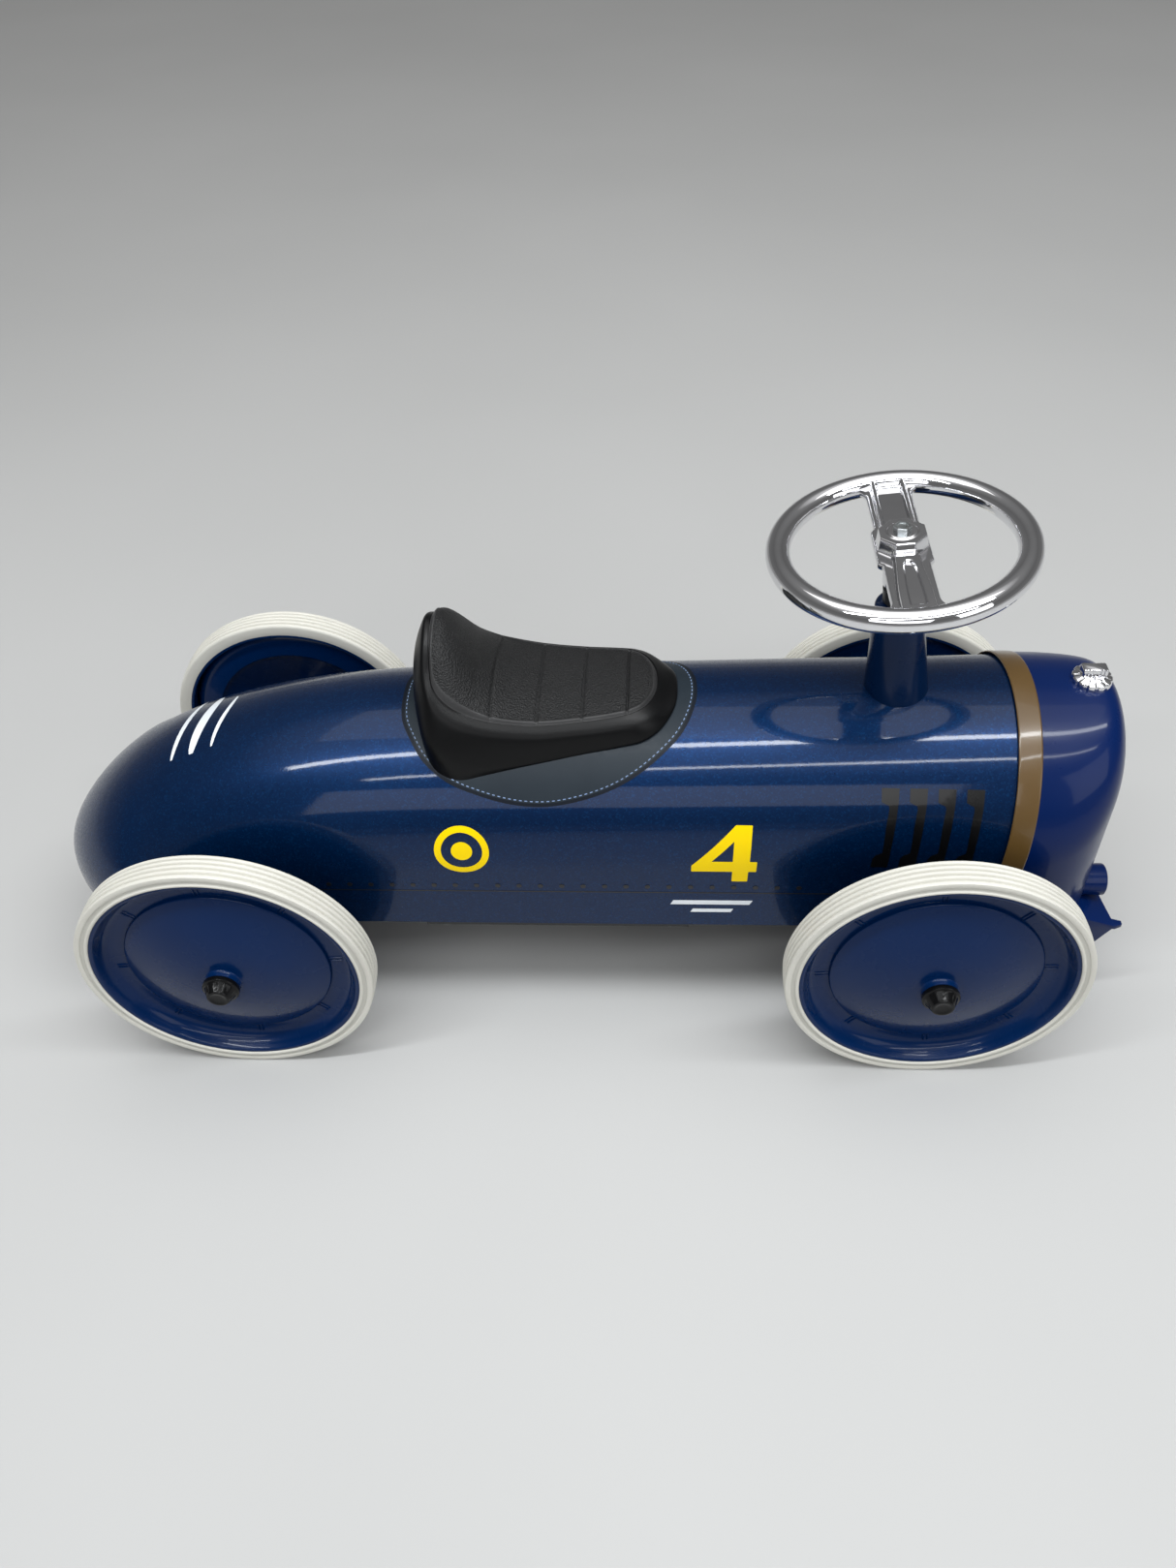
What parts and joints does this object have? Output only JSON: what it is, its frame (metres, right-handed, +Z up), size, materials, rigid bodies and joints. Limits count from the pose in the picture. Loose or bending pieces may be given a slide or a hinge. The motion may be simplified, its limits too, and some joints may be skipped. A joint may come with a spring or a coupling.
{
  "type": "ride-on racer car",
  "caption": "Child's vintage racer ride-on car: boat-tailed sheet body, moulded saddle, chrome steering wheel on a column, linked front wheels and disc wheels with pale rubber tyres.",
  "frame": {"origin": "on the ground under the middle of the car", "axes": "+X to the front of the car, +Y to its left, +Z up"},
  "size_m": [0.7739, 0.3202, 0.367],
  "materials": {
    "body_paint": "metallic gloss",
    "cowl_paint": "gloss",
    "band_brown": "gloss",
    "grille_metal": "satin",
    "chrome": "polished",
    "zinc": "zinc plated",
    "nylon": "natural",
    "chassis_paint": "satin black",
    "seat_black": "moulded, textured",
    "column_black": "satin",
    "wheel_blue": "gloss",
    "tyre_cream": "satin",
    "cap_black": "gloss"
  },
  "bodies": {
    "car_body": {"body_shell": "body_paint", "nose_cowl": "cowl_paint", "nose_band": "band_brown", "grille": "grille_metal", "radiator_cap": "chrome", "radiator_cap_nut": "zinc", "front_apron": "cowl_paint", "front_horn_left": "cowl_paint", "front_horn_right": "cowl_paint", "floor_plate": "body_paint", "floor_screws": "zinc", "column_cone": "body_paint", "upper_column_bush": "nylon", "lower_column_bush": "nylon", "cone_screws": "zinc", "column_bracket": "zinc", "front_beam": "chassis_paint", "beam_bolts": "zinc", "kingpins": "zinc", "kingpin_nuts": "zinc", "rear_crossmember": "chassis_paint", "rear_axle": "zinc", "axle_block_left": "nylon", "axle_block_right": "nylon", "rear_bolts": "zinc", "rear_spacers": "nylon", "rear_push_nuts": "zinc", "seat": "seat_black", "seat_screws": "zinc", "cowl_tie_plates": "zinc", "cowl_screws": "zinc", "apron_screws": "zinc"},
    "steering": {"steering_column": "zinc", "crank_arm": "zinc", "crank_clip": "zinc", "column_collar": "column_black", "steering_wheel": "chrome", "wheel_bolt": "zinc"},
    "tie_rod": {"tie_rod": "zinc"},
    "knuckle_left": {"knuckle_left": "chassis_paint", "knuckle_hardware_left": "zinc"},
    "knuckle_right": {"knuckle_right": "chassis_paint", "knuckle_hardware_right": "zinc"},
    "wheel_front_left": {"rim_front_left": "wheel_blue", "tyre_front_left": "tyre_cream", "hub_cap_front_left": "cap_black", "wheel_bush_front_left": "nylon"},
    "wheel_front_right": {"rim_front_right": "wheel_blue", "tyre_front_right": "tyre_cream", "hub_cap_front_right": "cap_black", "wheel_bush_front_right": "nylon"},
    "wheel_rear_left": {"rim_rear_left": "wheel_blue", "tyre_rear_left": "tyre_cream", "hub_cap_rear_left": "cap_black", "wheel_bush_rear_left": "nylon"},
    "wheel_rear_right": {"rim_rear_right": "wheel_blue", "tyre_rear_right": "tyre_cream", "hub_cap_rear_right": "cap_black", "wheel_bush_rear_right": "nylon"}
  },
  "joints": [
    {"name": "steer", "type": "hinge", "parent": "car_body", "child": "steering", "pos_m": [0.2055, 0, 0.3513], "axis": [-0.1045, 0, 0.9945], "range_deg": [-24, 24]},
    {"name": "tie_rod_slide", "type": "slide", "parent": "car_body", "child": "tie_rod", "axis": [0, 1, 0], "range_m": [-0.0085, 0.0085]},
    {"name": "kingpin_left", "type": "hinge", "parent": "car_body", "child": "knuckle_left", "pos_m": [0.2452, 0.098, 0.1015], "axis": [0, 0, 1], "range_deg": [-16.2, 16.2]},
    {"name": "kingpin_right", "type": "hinge", "parent": "car_body", "child": "knuckle_right", "pos_m": [0.2452, -0.098, 0.1015], "axis": [0, 0, 1], "range_deg": [-16.2, 16.2]},
    {"name": "spin_front_left", "type": "hinge", "parent": "knuckle_left", "child": "wheel_front_left", "pos_m": [0.2452, 0.1306, 0.1015], "axis": [0, 1, 0], "continuous": true},
    {"name": "spin_front_right", "type": "hinge", "parent": "knuckle_right", "child": "wheel_front_right", "pos_m": [0.2452, -0.1306, 0.1015], "axis": [0, 1, 0], "continuous": true},
    {"name": "spin_rear_left", "type": "hinge", "parent": "car_body", "child": "wheel_rear_left", "pos_m": [-0.2358, 0.1306, 0.1015], "axis": [0, 1, 0], "continuous": true},
    {"name": "spin_rear_right", "type": "hinge", "parent": "car_body", "child": "wheel_rear_right", "pos_m": [-0.2358, -0.1306, 0.1015], "axis": [0, 1, 0], "continuous": true}
  ],
  "couplings": [
    {"joint": "tie_rod_slide", "follows": "steer", "m_per_rad": -0.0196},
    {"joint": "kingpin_left", "follows": "steer", "ratio": 0.6667},
    {"joint": "kingpin_right", "follows": "steer", "ratio": 0.6667}
  ]
}
